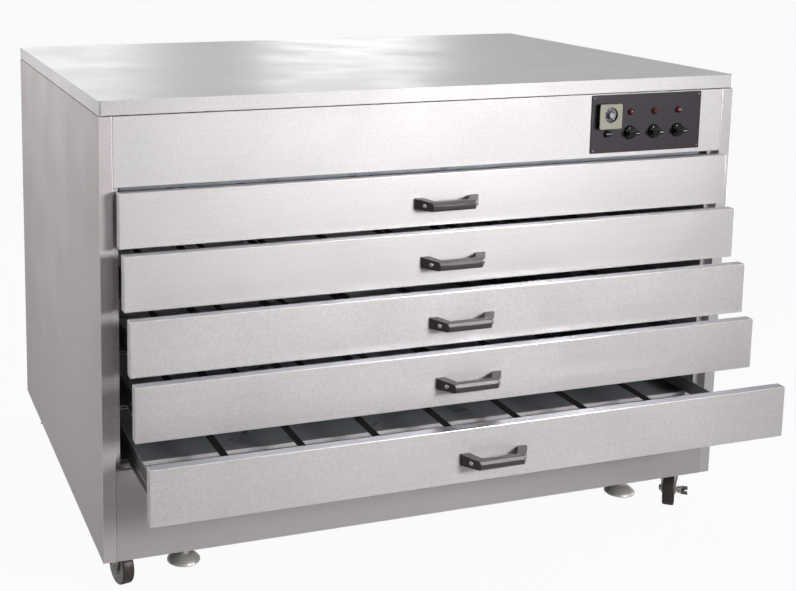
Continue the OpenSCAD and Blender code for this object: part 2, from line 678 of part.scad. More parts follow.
// The gland at the back, with a hole for the supply cable
module cable_gland() color([0.1, 0.1, 0.1]) in_cabinet()
    translate([gland_at[0], rear_y, gland_at[1]]) rotate([-90, 0, 0]) difference() {
        skin = 2 * sheet_t;
        union() {
            translate([0, 0, -14]) cylinder(d = gland_thread_d, h = 14 + skin);
            translate([0, 0, -6]) cylinder(d = 27, h = 6, $fn = 6);
            translate([0, 0, sheet_t]) cylinder(d = 28, h = 8, $fn = 6);
            translate([0, 0, sheet_t + 7]) cylinder(d1 = 24, d2 = 20, h = gland_proj + sheet_t - 7);
        }
        translate([0, 0, -20]) cylinder(d = gland_bore, h = 80);
    }

top_cover();
side_panel(-1);  // left_side_panel
side_panel(1);  // right_side_panel
back_panel();
uprights();
header_panel();
plinth_panel();
ceiling_panel();
base_pan();
base_frame();
drawer_runners();
control_plate();
thermostat();
pilot_lamps();
fuse_holder();
rotary_switches();
heater_elements();
fan_motor();
caster_mounts();
cable_gland();
thermostat_knob();
switch_knob(0);  // heater_switch_knob
switch_knob(1);  // fan_switch_knob
switch_knob(2);  // power_switch_knob
fuse_cap();
fan_rotor();
brake_pedal(1);  // brake_pedal_front_right
brake_pedal(2);  // brake_pedal_rear_left
for (corner = [0:3]) {
    caster_fork(corner);
    caster_wheel(corner);
    levelling_foot(corner);
}
for (n = [1:5]) {
    drawer_front(n);
    drawer_frame(n);
    drawer_slats(n);
    drawer_handle(n);
}
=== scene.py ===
import math
import random

import bmesh
import bpy
from mathutils import Matrix, Vector


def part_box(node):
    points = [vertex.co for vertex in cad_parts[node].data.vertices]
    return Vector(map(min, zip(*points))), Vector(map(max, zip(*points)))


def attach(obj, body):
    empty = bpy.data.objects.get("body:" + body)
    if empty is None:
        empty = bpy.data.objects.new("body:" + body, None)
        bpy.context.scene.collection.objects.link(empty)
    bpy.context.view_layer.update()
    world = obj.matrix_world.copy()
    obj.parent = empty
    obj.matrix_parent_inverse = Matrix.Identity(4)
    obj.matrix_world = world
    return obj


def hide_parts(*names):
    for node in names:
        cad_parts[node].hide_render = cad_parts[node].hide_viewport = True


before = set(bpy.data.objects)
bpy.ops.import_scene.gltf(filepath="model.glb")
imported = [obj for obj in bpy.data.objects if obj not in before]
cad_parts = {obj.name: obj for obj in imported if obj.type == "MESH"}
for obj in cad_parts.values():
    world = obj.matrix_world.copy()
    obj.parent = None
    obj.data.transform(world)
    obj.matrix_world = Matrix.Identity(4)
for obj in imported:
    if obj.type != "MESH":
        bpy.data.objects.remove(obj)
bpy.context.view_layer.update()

# ---------------------------------------------------------------- Camera
# The photograph is a crop, taken from the front left and a little above the cover.
# Its optical centre lies left of and above the middle, so the lens is shifted.
picture_w, picture_h = 796, 591
lens_px, optical_x, optical_y = 1290.642, 241.403, 108.477
turn, tip, roll = 0.31588, -0.15444, 0.00503
left_of_middle, before_face, above_floor = 1.177271, 2.308124, 1.364291
ahead = Vector((math.sin(turn) * math.cos(tip), math.cos(turn) * math.cos(tip), math.sin(tip)))
level_right = Vector((math.cos(turn), -math.sin(turn), 0))
level_up = level_right.cross(ahead)
right = math.cos(roll) * level_right + math.sin(roll) * level_up
up = -math.sin(roll) * level_right + math.cos(roll) * level_up
camera_data = bpy.data.cameras.new("camera")
camera_data.sensor_width = 36
camera_data.lens = lens_px * camera_data.sensor_width / picture_w
camera_data.shift_x = (picture_w / 2 - optical_x) / picture_w
camera_data.shift_y = (optical_y - picture_h / 2) / picture_w
camera = bpy.data.objects.new("camera", camera_data)
bpy.context.scene.collection.objects.link(camera)
stance = Matrix((right, up, -ahead)).transposed().to_4x4()
face_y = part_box("header_panel")[0].y
standpoint = Matrix.Translation((-left_of_middle, face_y - before_face, above_floor))
camera.matrix_world = standpoint @ stance
bpy.context.scene.camera = camera

# ---------------------------------------------------------------- Floor and light
# A pale studio floor runs out of sight under a white surround, which is dimmer on the side of
# the camera. The main lamp stands in front on the right; weaker ones light top, sides and back.
def nodes_of(name):
    finish = bpy.data.materials.new(name)
    finish.use_nodes = True
    tree = finish.node_tree
    return finish, tree.nodes, tree.links, tree.nodes["Principled BSDF"]


def studio_floor():
    paper_share, mirrored_share = 0.95, 0.18
    finish, nodes, links, paint = nodes_of("studio_floor")
    paint.inputs["Base Color"].default_value = (0.5, 0.5, 0.5, 1)
    paint.inputs["Roughness"].default_value = 0.9
    paint.inputs["Specular IOR Level"].default_value = 0.1
    paper = nodes.new("ShaderNodeEmission")
    paper.inputs["Strength"].default_value = 1
    path = nodes.new("ShaderNodeLightPath")
    shown = nodes.new("ShaderNodeMath")
    shown.operation = "MULTIPLY"
    shown.inputs[1].default_value = paper_share
    mirrored = nodes.new("ShaderNodeMath")
    mirrored.operation = "MULTIPLY_ADD"
    mirrored.inputs[1].default_value = mirrored_share
    indirect = nodes.new("ShaderNodeMath")
    indirect.operation = "MAXIMUM"
    both = nodes.new("ShaderNodeMixShader")
    links.new(path.outputs["Is Camera Ray"], shown.inputs[0])
    links.new(path.outputs["Is Glossy Ray"], indirect.inputs[0])
    links.new(path.outputs["Is Transmission Ray"], indirect.inputs[1])
    links.new(indirect.outputs[0], mirrored.inputs[0])
    links.new(shown.outputs[0], mirrored.inputs[2])
    links.new(mirrored.outputs[0], both.inputs[0])
    links.new(paint.outputs[0], both.inputs[1])
    links.new(paper.outputs[0], both.inputs[2])
    links.new(both.outputs[0], nodes["Material Output"].inputs["Surface"])
    mesh = bpy.data.meshes.new("studio_floor")
    half = 40
    corners = [(-half, -half, 0), (half, -half, 0), (half, half, 0), (-half, half, 0)]
    mesh.from_pydata(corners, [], [(0, 1, 2, 3)])
    mesh.materials.append(finish)
    floor = bpy.data.objects.new("studio_floor", mesh)
    bpy.context.scene.collection.objects.link(floor)


def surround():
    front_level, rear_level, fill_level = 0.46, 1, 0.12
    world = bpy.data.worlds.new("surround")
    world.use_nodes = True
    bpy.context.scene.world = world
    nodes, links = world.node_tree.nodes, world.node_tree.links
    nodes.clear()
    out = nodes.new("ShaderNodeOutputWorld")
    white = nodes.new("ShaderNodeBackground")
    white.inputs["Strength"].default_value = 1
    studio = nodes.new("ShaderNodeBackground")
    place = nodes.new("ShaderNodeTexCoord")
    parts = nodes.new("ShaderNodeSeparateXYZ")
    dimmer = nodes.new("ShaderNodeMapRange")
    dimmer.inputs["From Min"].default_value = -0.3
    dimmer.inputs["From Max"].default_value = 0.3
    dimmer.inputs["To Min"].default_value = front_level
    dimmer.inputs["To Max"].default_value = rear_level
    fill = nodes.new("ShaderNodeBackground")
    fill.inputs["Color"].default_value = (1, 0.99, 0.98, 1)
    fill.inputs["Strength"].default_value = fill_level
    path = nodes.new("ShaderNodeLightPath")
    mirrored = nodes.new("ShaderNodeMath")
    mirrored.operation = "MAXIMUM"
    inner = nodes.new("ShaderNodeMixShader")
    outer = nodes.new("ShaderNodeMixShader")
    links.new(place.outputs["Generated"], parts.inputs[0])
    links.new(parts.outputs["Y"], dimmer.inputs["Value"])
    links.new(dimmer.outputs[0], studio.inputs["Strength"])
    links.new(path.outputs["Is Glossy Ray"], mirrored.inputs[0])
    links.new(path.outputs["Is Transmission Ray"], mirrored.inputs[1])
    links.new(mirrored.outputs[0], inner.inputs[0])
    links.new(fill.outputs[0], inner.inputs[1])
    links.new(studio.outputs[0], inner.inputs[2])
    links.new(path.outputs["Is Camera Ray"], outer.inputs[0])
    links.new(inner.outputs[0], outer.inputs[1])
    links.new(white.outputs[0], outer.inputs[2])
    links.new(outer.outputs[0], out.inputs["Surface"])


def softbox(name, at, to, width, height, watts, spread=180):
    """A square-cornered area lamp at one point, aimed at another; sizes in metres."""
    lamp = bpy.data.lights.new(name, "AREA")
    lamp.shape = "RECTANGLE"
    lamp.size, lamp.size_y = width, height
    lamp.energy = watts
    lamp.spread = math.radians(spread)
    box = bpy.data.objects.new(name, lamp)
    bpy.context.scene.collection.objects.link(box)
    aim = (Vector(to) - Vector(at)).to_track_quat("-Z", "Y")
    box.matrix_world = Matrix.Translation(at) @ aim.to_matrix().to_4x4()


studio_floor()
surround()
softbox("softbox_front_right", (1.2, -2.62, 1.36), (-0.45, -0.35, 0.58), 0.95, 0.5, 14.4, spread=80)
softbox("softbox_front", (0.3, -2.9, 1.3), (-0.5, -0.35, 0.7), 1.2, 0.6, 1.8, spread=90)
softbox("softbox_above", (-0.2, -1.0, 3.4), (0, 0, 0.6), 2.6, 2.0, 4)
softbox("softbox_behind_right", (1.25, 3.1, 1.6), (-0.1, 0.1, 1.0), 0.8, 0.6, 5.6)
softbox("softbox_behind", (-0.3, 3.3, 1.9), (-0.1, 0.1, 1.0), 1.2, 0.6, 6.7)
softbox("softbox_left", (-3.2, 0.5, 2.2), (-0.7, 0.25, 1.3), 1.2, 1.2, 12.6, spread=60)
softbox("softbox_right", (3.3, 0.2, 0.66), (0.7, 0.1, 0.55), 1.3, 0.6, 13, spread=70)
softbox("softbox_rear", (0.2, 3.5, 0.66), (0, 0.6, 0.55), 1.6, 0.6, 12, spread=80)

# ---------------------------------------------------------------- Cover
# The cover is a tray of satin stainless sheet with its edges folded down and its corners
# rounded; it drops over the uprights and leaves a dark seam under its edge.
def stainless(name, grain, tone=(0.64, 0.614, 0.619), gloss=0.47, metal=0.5, relief_depth=0.12):
    """Satin stainless sheet: grain is the number of hairlines in a metre along X, Y and Z."""
    hair_share, speck_scale, cloud_scale = 0.18, 330, 7
    dark, light = 0.87, 1.12
    finish, nodes, links, steel = nodes_of(name)
    steel.inputs["Metallic"].default_value = metal
    place = nodes.new("ShaderNodeTexCoord")
    hair_map = nodes.new("ShaderNodeMapping")
    hair_map.inputs["Scale"].default_value = grain
    hair = nodes.new("ShaderNodeTexNoise")
    hair.inputs["Scale"].default_value = 1
    hair.inputs["Detail"].default_value = 3
    links.new(place.outputs["Object"], hair_map.inputs["Vector"])
    links.new(hair_map.outputs["Vector"], hair.inputs["Vector"])
    cloud = nodes.new("ShaderNodeTexNoise")
    cloud.inputs["Scale"].default_value = cloud_scale
    cloud.inputs["Detail"].default_value = 4
    links.new(place.outputs["Object"], cloud.inputs["Vector"])
    speck = nodes.new("ShaderNodeTexNoise")
    speck.inputs["Scale"].default_value = speck_scale
    speck.inputs["Detail"].default_value = 3
    speck.inputs["Roughness"].default_value = 0.7
    links.new(place.outputs["Object"], speck.inputs["Vector"])
    blend = nodes.new("ShaderNodeMix")
    blend.data_type = "FLOAT"
    blend.inputs["Factor"].default_value = 1 - hair_share
    links.new(hair.outputs["Fac"], blend.inputs[2])
    links.new(speck.outputs["Fac"], blend.inputs[3])
    tint = nodes.new("ShaderNodeValToRGB")
    tint.color_ramp.elements[0].position = 0.32
    tint.color_ramp.elements[0].color = [part * dark for part in tone] + [1]
    tint.color_ramp.elements[1].position = 0.68
    tint.color_ramp.elements[1].color = [part * light for part in tone] + [1]
    links.new(blend.outputs[0], tint.inputs["Fac"])
    links.new(tint.outputs["Color"], steel.inputs["Base Color"])
    wear = nodes.new("ShaderNodeMapRange")
    wear.inputs["From Min"].default_value = 0.3
    wear.inputs["From Max"].default_value = 0.7
    wear.inputs["To Min"].default_value = gloss - 0.04
    wear.inputs["To Max"].default_value = gloss + 0.06
    links.new(cloud.outputs["Fac"], wear.inputs["Value"])
    links.new(wear.outputs[0], steel.inputs["Roughness"])
    relief = nodes.new("ShaderNodeBump")
    relief.inputs["Strength"].default_value = relief_depth
    relief.inputs["Distance"].default_value = 0.0002
    links.new(blend.outputs[0], relief.inputs["Height"])
    links.new(relief.outputs["Normal"], steel.inputs["Normal"])
    return finish


def plain_copy(node):
    """A clean mesh of a CAD node, with its loose triangles joined and its flat faces made whole."""
    form = bmesh.new()
    form.from_mesh(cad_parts[node].data)
    bmesh.ops.remove_doubles(form, verts=form.verts, dist=4e-6)
    bmesh.ops.dissolve_limit(form, angle_limit=math.radians(0.6), verts=form.verts,
                             edges=form.edges)
    for edge in form.edges:
        edge.smooth = True
    for face in form.faces:
        face.material_index = 0
    return form


def finished(form, name, body, finish, slot, *nodes, sharp=32):
    """Makes a form a piece that stands for the named CAD nodes; finish may be several, by index."""
    for face in form.faces:
        face.smooth = True
    for edge in form.edges:
        if len(edge.link_faces) != 2 or edge.calc_face_angle(0) > math.radians(sharp):
            edge.smooth = False
    mesh = bpy.data.meshes.new(name)
    form.to_mesh(mesh)
    form.free()
    for one in finish if isinstance(finish, (list, tuple)) else [finish]:
        mesh.materials.append(one)
    piece = bpy.data.objects.new(name, mesh)
    bpy.context.scene.collection.objects.link(piece)
    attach(piece, body)
    if nodes:
        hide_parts(*nodes)
    return piece


def broad_bends(form):
    """The outer folds of a sheet part: convex edges between two faces broader than the sheet."""
    least = 0.004
    picked = []
    for edge in form.edges:
        if len(edge.link_faces) != 2 or not edge.is_convex:
            continue
        long = edge.calc_length()
        if edge.calc_face_angle(0) > math.radians(50) and long > least:
            if min(face.calc_area() for face in edge.link_faces) / long > least:
                picked.append(edge)
    return picked


def rounded(form, edges, radius, segments):
    """Rounds edges; the bends take the second finish, and the flats beside them stay flat."""
    made = set(bmesh.ops.bevel(form, geom=edges, offset=radius, segments=segments, profile=0.5,
                               affect="EDGES", clamp_overlap=True)["faces"])
    for face in made:
        face.material_index = 1
    for edge in form.edges:
        if len(edge.link_faces) == 2 and sum(face in made for face in edge.link_faces) == 1:
            edge.smooth = False


def folded(node, body, finish, radius, third=None, is_third=None, bend=None):
    """A sheet part with its folds rounded; the faces that is_third picks take a third finish."""
    form = plain_copy(node)
    rounded(form, broad_bends(form), radius, 3)
    if third:
        for face in form.faces:
            if face.material_index == 0 and is_third(face):
                face.material_index = 2
    # Unless bend is given, the folds take the paler sheet: a painted highlight along each bend,
    # partly rubbed bright.
    finishes = [finish, bend or bend_wear_and_painted_highlight] + ([third] if third else [])
    return finished(form, node + "_sheet", body, finishes, "stainless", node)


def looks_up(face):
    return face.normal.z > 0.7


along_x, along_y, scuffed = (3, 420, 420), (420, 3, 420), (60, 60, 60)
# Folds and frame edges take a paler, glossier sheet: partly rubbed bright, partly a painted
# highlight along each bend.
bend_wear_and_painted_highlight = stainless("bend_wear_and_painted_highlight", scuffed, tone=(0.82, 0.8, 0.81), gloss=0.34, metal=0.55)
sheet_along_x = stainless("satin_stainless_along_x", along_x)
sheet_along_y = stainless("satin_stainless_along_y", along_y)
upper_sheet = stainless("satin_stainless_upper", along_x, tone=(0.62, 0.6, 0.604), gloss=0.57)
# The cover's upward faces take a darker, more metallic copy of the sheet: painted shade on the top.
cover_top_painted_shade = stainless("satin_stainless_cover_painted_shade", along_x, tone=(0.5, 0.49, 0.493), gloss=0.42,
                      metal=0.75)
folded("top_cover", "cabinet", upper_sheet, 0.0022, cover_top_painted_shade, looks_up)

# ---------------------------------------------------------------- Side and back panels
# Each side is one sheet, folded in front round the stile and the jamb and behind to a return;
# the back is a flat sheet with rows of cooling slots.
# The left side takes a warmer, slightly darker copy of the sheet than the right: painted shade on
# the side that faces away from the main lamp.
left_sheet_painted_shade = stainless("satin_stainless_left_painted_shade", along_y, tone=(0.6, 0.548, 0.55), gloss=0.45)
right_sheet = stainless("satin_stainless_right_side", along_y, tone=(0.6, 0.58, 0.582), gloss=0.45)
folded("left_side_panel", "cabinet", left_sheet_painted_shade, 0.0018)
folded("right_side_panel", "cabinet", right_sheet, 0.0018)
folded("back_panel", "cabinet", sheet_along_x, 0.0008)

# ---------------------------------------------------------------- Screws
# Plated pan-head screws with a cross recess hold the back panel and the rear edge of the cover
# to the uprights; they stand square to the sheet, each turned as its thread happened to end.
plated = stainless("zinc_plate", scuffed, tone=(0.62, 0.62, 0.61), gloss=0.25, metal=0.9)


def head_tree():
    """Geometry nodes: a domed head, recessed or plain, on every point along its facing."""
    tree = bpy.data.node_groups.new("screw_heads", "GeometryNodeTree")
    face = tree.interface
    face.new_socket("Points", in_out="INPUT", socket_type="NodeSocketGeometry")
    for name, value in (("Head radius", 0.004), ("Head height", 0.0024), ("Slot width", 0.0009),
                        ("Slot depth", 0.0012)):
        face.new_socket(name, in_out="INPUT", socket_type="NodeSocketFloat").default_value = value
    face.new_socket("Recessed", in_out="INPUT", socket_type="NodeSocketBool").default_value = True
    face.new_socket("Finish", in_out="INPUT", socket_type="NodeSocketMaterial")
    face.new_socket("Heads", in_out="OUTPUT", socket_type="NodeSocketGeometry")
    new, link = tree.nodes.new, tree.links.new
    given, made = new("NodeGroupInput"), new("NodeGroupOutput")

    def sizes(x, y, z):
        joined = new("ShaderNodeCombineXYZ")
        for value, socket in zip((x, y, z), joined.inputs):
            if isinstance(value, (int, float)):
                socket.default_value = value
            else:
                link(value, socket)
        return joined.outputs[0]

    def times(socket, factor):
        product = new("ShaderNodeMath")
        product.operation = "MULTIPLY"
        link(socket, product.inputs[0])
        product.inputs[1].default_value = factor
        return product.outputs[0]

    radius, height = given.outputs["Head radius"], given.outputs["Head height"]
    ball = new("GeometryNodeMeshUVSphere")
    ball.inputs["Segments"].default_value = 20
    ball.inputs["Rings"].default_value = 12
    ball.inputs["Radius"].default_value = 1
    dome = new("GeometryNodeTransform")
    link(ball.outputs["Mesh"], dome.inputs["Geometry"])
    link(sizes(radius, radius, height), dome.inputs["Scale"])

    def block(size, lift):
        cube = new("GeometryNodeMeshCube")
        link(size, cube.inputs["Size"])
        moved = new("GeometryNodeTransform")
        link(cube.outputs["Mesh"], moved.inputs["Geometry"])
        link(sizes(0, 0, lift), moved.inputs["Translation"])
        return moved.outputs["Geometry"]

    wide, slim = times(radius, 1.15), given.outputs["Slot width"]
    deep, base = times(given.outputs["Slot depth"], 2), times(radius, 3)
    half = new("GeometryNodeMeshBoolean")
    half.operation = "DIFFERENCE"
    link(dome.outputs["Geometry"], half.inputs["Mesh 1"])
    link(block(sizes(base, base, times(height, 4)), times(height, -2)), half.inputs["Mesh 2"])
    slotted = new("GeometryNodeMeshBoolean")
    slotted.operation = "DIFFERENCE"
    link(half.outputs["Mesh"], slotted.inputs["Mesh 1"])
    link(block(sizes(wide, slim, deep), height), slotted.inputs["Mesh 2"])
    link(block(sizes(slim, wide, deep), height), slotted.inputs["Mesh 2"])
    head = new("GeometryNodeSwitch")
    head.input_type = "GEOMETRY"
    link(given.outputs["Recessed"], head.inputs["Switch"])
    link(half.outputs["Mesh"], head.inputs["False"])
    link(slotted.outputs["Mesh"], head.inputs["True"])
    facing = new("GeometryNodeInputNamedAttribute")
    facing.data_type = "FLOAT_VECTOR"
    facing.inputs["Name"].default_value = "facing"
    stand = new("FunctionNodeAlignRotationToVector")
    stand.axis = "Z"
    link(facing.outputs["Attribute"], stand.inputs["Vector"])
    spin = new("GeometryNodeInputNamedAttribute")
    spin.data_type = "FLOAT"
    spin.inputs["Name"].default_value = "spin"
    twist = new("FunctionNodeAxisAngleToRotation")
    twist.inputs["Axis"].default_value = (0, 0, 1)
    link(spin.outputs["Attribute"], twist.inputs["Angle"])
    turned_head = new("FunctionNodeRotateRotation")
    turned_head.rotation_space = "LOCAL"
    link(stand.outputs["Rotation"], turned_head.inputs["Rotation"])
    link(twist.outputs["Rotation"], turned_head.inputs["Rotate By"])
    each = new("GeometryNodeInstanceOnPoints")
    link(given.outputs["Points"], each.inputs["Points"])
    link(head.outputs["Output"], each.inputs["Instance"])
    link(turned_head.outputs["Rotation"], each.inputs["Rotation"])
    real = new("GeometryNodeRealizeInstances")
    link(each.outputs["Instances"], real.inputs["Geometry"])
    dressed = new("GeometryNodeSetMaterial")
    link(real.outputs["Geometry"], dressed.inputs["Geometry"])
    link(given.outputs["Finish"], dressed.inputs["Material"])
    link(dressed.outputs["Geometry"], made.inputs["Heads"])
    return tree


heads = head_tree()


def set_heads(name, body, places, radius, height, finish, recess=True, seed=1):
    """One plain mesh of heads on a body, at places that are pairs of a point and a direction."""
    draw = random.Random(seed)
    mesh = bpy.data.meshes.new(name)
    mesh.from_pydata([tuple(point) for point, _ in places], [], [])
    mesh.attributes.new("facing", "FLOAT_VECTOR", "POINT")
    mesh.attributes.new("spin", "FLOAT", "POINT")
    for k, (_, direction) in enumerate(places):
        mesh.attributes["facing"].data[k].vector = tuple(direction)
        mesh.attributes["spin"].data[k].value = draw.uniform(0, math.pi)
    carrier = bpy.data.objects.new(name + "_points", mesh)
    bpy.context.scene.collection.objects.link(carrier)
    modifier = carrier.modifiers.new("heads", "NODES")
    modifier.node_group = heads
    values = {"Head radius": radius, "Head height": height, "Slot width": radius * 0.24,
              "Slot depth": height * 0.6, "Recessed": recess, "Finish": finish}
    for item in heads.interface.items_tree:
        if item.in_out == "INPUT" and item.name in values:
            modifier[item.identifier] = values[item.name]
    evaluated = carrier.evaluated_get(bpy.context.evaluated_depsgraph_get())
    result = bpy.data.meshes.new_from_object(evaluated)
    result.name = name
    for leftover in ("facing", "spin"):
        if leftover in result.attributes:
            result.attributes.remove(result.attributes[leftover])
    carrier.modifiers.remove(modifier)
    bpy.data.objects.remove(carrier)
    result.shade_smooth()
    result.set_sharp_from_angle(angle=math.radians(30))
    piece = bpy.data.objects.new(name, result)
    bpy.context.scene.collection.objects.link(piece)
    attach(piece, body)
    return piece


back_low, back_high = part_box("back_panel")
cover_low, cover_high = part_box("top_cover")
from_side, from_end, from_corner = 0.02, 0.012, 0.1
column_step = (back_high.x - back_low.x - 2 * from_side) / 6
row_step = (back_high.z - back_low.z - 2 * from_corner) / 4
columns = [back_low.x + from_side + k * column_step for k in range(7)]
rows = [back_low.z + from_corner + k * row_step for k in range(5)]
spots = [(x, back_high.y, z) for x in columns
         for z in (back_low.z + from_end, back_high.z - from_end)]
spots += [(x, back_high.y, z) for z in rows for x in (columns[0], columns[-1])]
spots += [(x, cover_high.y, cover_low.z + from_end) for x in (-0.6, -0.2, 0.2, 0.6)]
backwards = (0, 1, 0)
places = [(spot, backwards) for spot in spots]
set_heads("back_screws", "cabinet", places, 0.004, 0.0024, plated, seed=3)

# ---------------------------------------------------------------- Header and plinth
# The header panel and the plinth panel are shallow trays set between the stiles, with hairline
# seams beside them. Behind the plinth's lip a riser goes up to the chamber's floor, its front
# painted near white as a pool of light from the main lamp.
folded("header_panel", "cabinet", upper_sheet, 0.001, bend=upper_sheet)
# The plinth takes a darker, violet-grey copy of the sheet: painted shade under the open bottom
# drawer.
plinth_painted_shade = stainless("satin_stainless_plinth_painted_shade", along_x, tone=(0.52, 0.49, 0.512), gloss=0.42)
# Painted light: the riser's front is near white, standing for the lamp light that falls through the
# gap above the bottom drawer.
riser_painted_light = stainless("riser_painted_light", along_x, tone=(0.95, 0.92, 0.94), gloss=0.16, metal=0.1)


def on_riser(face):
    return face.normal.y < -0.7 and face.calc_center_median().y > face_y + 0.01


# The plinth's flats and bends take its painted shade; the riser's front takes its painted light.
folded("plinth_panel", "cabinet", plinth_painted_shade, 0.001, riser_painted_light, on_riser, bend=plinth_painted_shade)

# ---------------------------------------------------------------- Chamber
# Four folded uprights carry the cover. Ceiling and floor of the drying chamber are the same
# sheet, painted darker and bluer as shade and dark reflections inside the chamber, and hang
# between them.
# Painted shade: the chamber's ceiling and floor take a darker, bluish copy of the sheet.
chamber_painted_shade = stainless("chamber_stainless_painted_shade", along_x, tone=(0.4, 0.43, 0.47), gloss=0.3,
                          metal=0.4)
folded("uprights", "cabinet", sheet_along_y, 0.001)
folded("ceiling_panel", "cabinet", chamber_painted_shade, 0.001)
folded("base_pan", "cabinet", chamber_painted_shade, 0.0006)

# ---------------------------------------------------------------- Runners and base frame
# The runners are folded steel channels; bottom sheet and cross beams are dark painted steel,
# welded up, with the nuts of the levelling feet on their underside.
def dark_paint(name, colour, rough, level=0.4, scale=90):
    """Paint or moulded plastic with a fine grain; scale is the number of grains in a metre."""
    dark, light = 0.65, 1.35
    finish, nodes, links, paint = nodes_of(name)
    paint.inputs["Specular IOR Level"].default_value = level
    place = nodes.new("ShaderNodeTexCoord")
    grain = nodes.new("ShaderNodeTexNoise")
    grain.inputs["Scale"].default_value = scale
    grain.inputs["Detail"].default_value = 4
    links.new(place.outputs["Object"], grain.inputs["Vector"])
    tint = nodes.new("ShaderNodeValToRGB")
    tint.color_ramp.elements[0].color = [part * dark for part in colour] + [1]
    tint.color_ramp.elements[1].color = [part * light for part in colour] + [1]
    links.new(grain.outputs["Fac"], tint.inputs["Fac"])
    links.new(tint.outputs["Color"], paint.inputs["Base Color"])
    wear = nodes.new("ShaderNodeMapRange")
    wear.inputs["To Min"].default_value = rough - 0.08
    wear.inputs["To Max"].default_value = rough + 0.1
    links.new(grain.outputs["Fac"], wear.inputs["Value"])
    links.new(wear.outputs[0], paint.inputs["Roughness"])
    relief = nodes.new("ShaderNodeBump")
    relief.inputs["Strength"].default_value = 0.15
    relief.inputs["Distance"].default_value = 0.0003
    links.new(grain.outputs["Fac"], relief.inputs["Height"])
    links.new(relief.outputs["Normal"], paint.inputs["Normal"])
    return finish


def painted_node(node, finish):
    """A CAD node that stays as it is, with its finish."""
    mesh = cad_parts[node].data
    mesh.materials.clear()
    mesh.materials.append(finish)


frame_paint = dark_paint("dark_frame_paint", (0.035, 0.035, 0.036), 0.42)
frame_steel = stainless("drawer_frame_steel", along_y, tone=(0.3, 0.285, 0.3), gloss=0.36,
                        metal=0.85)
painted_node("drawer_runners", frame_steel)
painted_node("base_frame", frame_paint)

# ---------------------------------------------------------------- Drawers
# A drawer front is a folded stainless pan. Behind it hangs a welded frame of steel angle with
# seven dark flat slats, each spot-welded to the frame's ledges at both ends.
def softened(node, name, body, finish, slot, radius, least=30, sort_face=None, sharp=40,
             cut=None, reshape=None):
    """A CAD node's shape with its edges broken. Sort_face numbers a face's finish, cut is a plane
    that parts the faces first, and reshape moves the vertices."""
    form = plain_copy(node)
    if reshape:
        for vert in form.verts:
            reshape(vert)
    if cut:
        whole = form.verts[:] + form.edges[:] + form.faces[:]
        bmesh.ops.bisect_plane(form, geom=whole, plane_co=cut[0], plane_no=cut[1])
    edges = [edge for edge in form.edges
             if len(edge.link_faces) == 2 and edge.calc_face_angle(0) > math.radians(least)]
    rounded(form, edges, radius, 2)
    form.normal_update()
    for face in form.faces:
        if sort_face:
            face.material_index = sort_face(face)
        elif not isinstance(finish, list):
            face.material_index = 0
    return finished(form, name, body, finish, slot, node, sharp=sharp)


slat_black = dark_paint("slat_black", (0.03, 0.028, 0.024), 0.45, level=0.35, scale=140)
rail_inside, slat_count, slimmer = 0.635, 7, 0.75
slat_gap = 2 * rail_inside / (slat_count + 1)
weld_apart, weld_from_end = 0.005, 0.009
# The upward faces of each drawer front take a dark bluish sheet: painted shade and painted
# reflection of the dark chamber above them.
lip_painted_shade = stainless("pan_lip_painted_shade", along_x, tone=(0.34, 0.345, 0.38), gloss=0.3, metal=0.85)
upwards = (0, 0, 1)


def narrower(vert):
    middle = round((vert.co.x + rail_inside) / slat_gap) * slat_gap - rail_inside
    vert.co.x = middle + (vert.co.x - middle) * slimmer


for n in range(1, 6):
    body = "drawer_%d" % n
    # Each front's upward faces take the painted shade of the lip.
    folded(body + "_front", body, sheet_along_x, 0.0012, lip_painted_shade, looks_up)
    # The frame's broken edges take the paler sheet, a painted highlight along them.
    softened(body + "_frame", body + "_angle_frame", body, [frame_steel, bend_wear_and_painted_highlight],
             "frame_dark", 0.0005)
    softened(body + "_slats", body + "_flat_slats", body, slat_black, "frame_dark", 0.0004,
             reshape=narrower)
    low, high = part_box(body + "_slats")
    welds = [((k * slat_gap - rail_inside + side * weld_apart, y, high.z), upwards)
             for k in range(1, slat_count + 1) for side in (-1, 1)
             for y in (low.y + weld_from_end, high.y - weld_from_end)]
    set_heads(body + "_slat_welds", body, welds, 0.003, 0.0007, slat_black,
              recess=False)

# ---------------------------------------------------------------- Handles
# Each drawer has a cast bridge handle, satin charcoal, with slanting legs and a bar that is
# bevelled on its front; a bright screw sits in the slanting face of each leg.
handle_finish = dark_paint("charcoal_handle", (0.055, 0.046, 0.051), 0.32, level=0.3, scale=260)
leg_root, leg_front, leg_foot, handle_reach = 0.070, 0.046, 0.005, 0.038
leg_run, leg_depth, screw_drop = leg_root - leg_front, handle_reach - leg_foot, 0.001
for n in range(1, 6):
    body = "drawer_%d" % n
    softened(body + "_handle", body + "_grip", body, handle_finish, "handle", 0.0007,
             least=12, sharp=50)
    low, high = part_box(body + "_handle")
    screws = []
    for side in (-1, 1):
        middle = Vector((side * (leg_root + leg_front) / 2, high.y - (leg_foot + handle_reach) / 2,
                         (low.z + high.z) / 2 - screw_drop))
        screws.append((middle, Vector((side * leg_depth, -leg_run, 0)).normalized()))
    set_heads(body + "_handle_screws", body, screws, 0.0042, 0.0018, plated, seed=10 + n)

